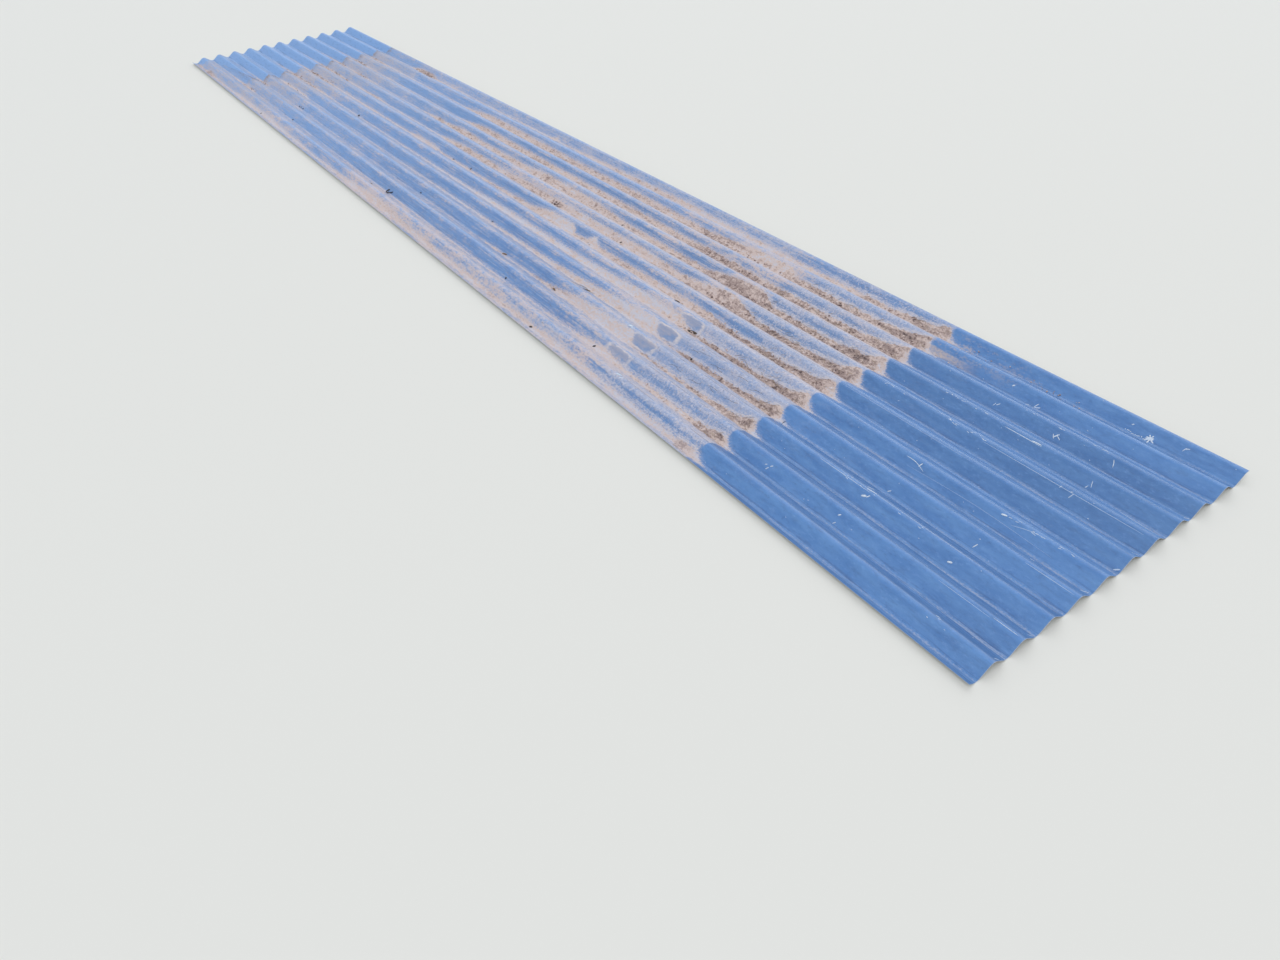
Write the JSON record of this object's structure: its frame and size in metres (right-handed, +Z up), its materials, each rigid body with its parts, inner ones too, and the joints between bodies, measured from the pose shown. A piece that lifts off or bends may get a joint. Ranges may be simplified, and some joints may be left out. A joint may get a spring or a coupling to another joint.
{
  "type": "corrugated metal sheet",
  "caption": "Long thin steel roofing sheet rolled into even rounded waves, painted blue on top and weathered, with square-cut ends and plain side edges.",
  "frame": {"origin": "on the floor under the middle of the sheet's bounding box", "axes": "+X along the waves, +Y across them from the side edge that laps towards the plain one, +Z up from the floor with the painted face on top"},
  "size_m": [4.7, 0.825, 0.0195],
  "materials": {
    "painted_steel": "blue colour coat, worn to a soft sheen, with dust and dried mud along the waves",
    "dried_mud": "matt, crumbly silt and clay, tan to brown, dried in the troughs",
    "dry_litter": "dead grass, stalks and leaf bits, matt, straw-coloured to dark brown",
    "pale_marks": "chalky scuffs, scratches and lime spots on the paint"
  },
  "bodies": {
    "root": {"corrugated_sheet": "painted_steel"}
  },
  "joints": []
}
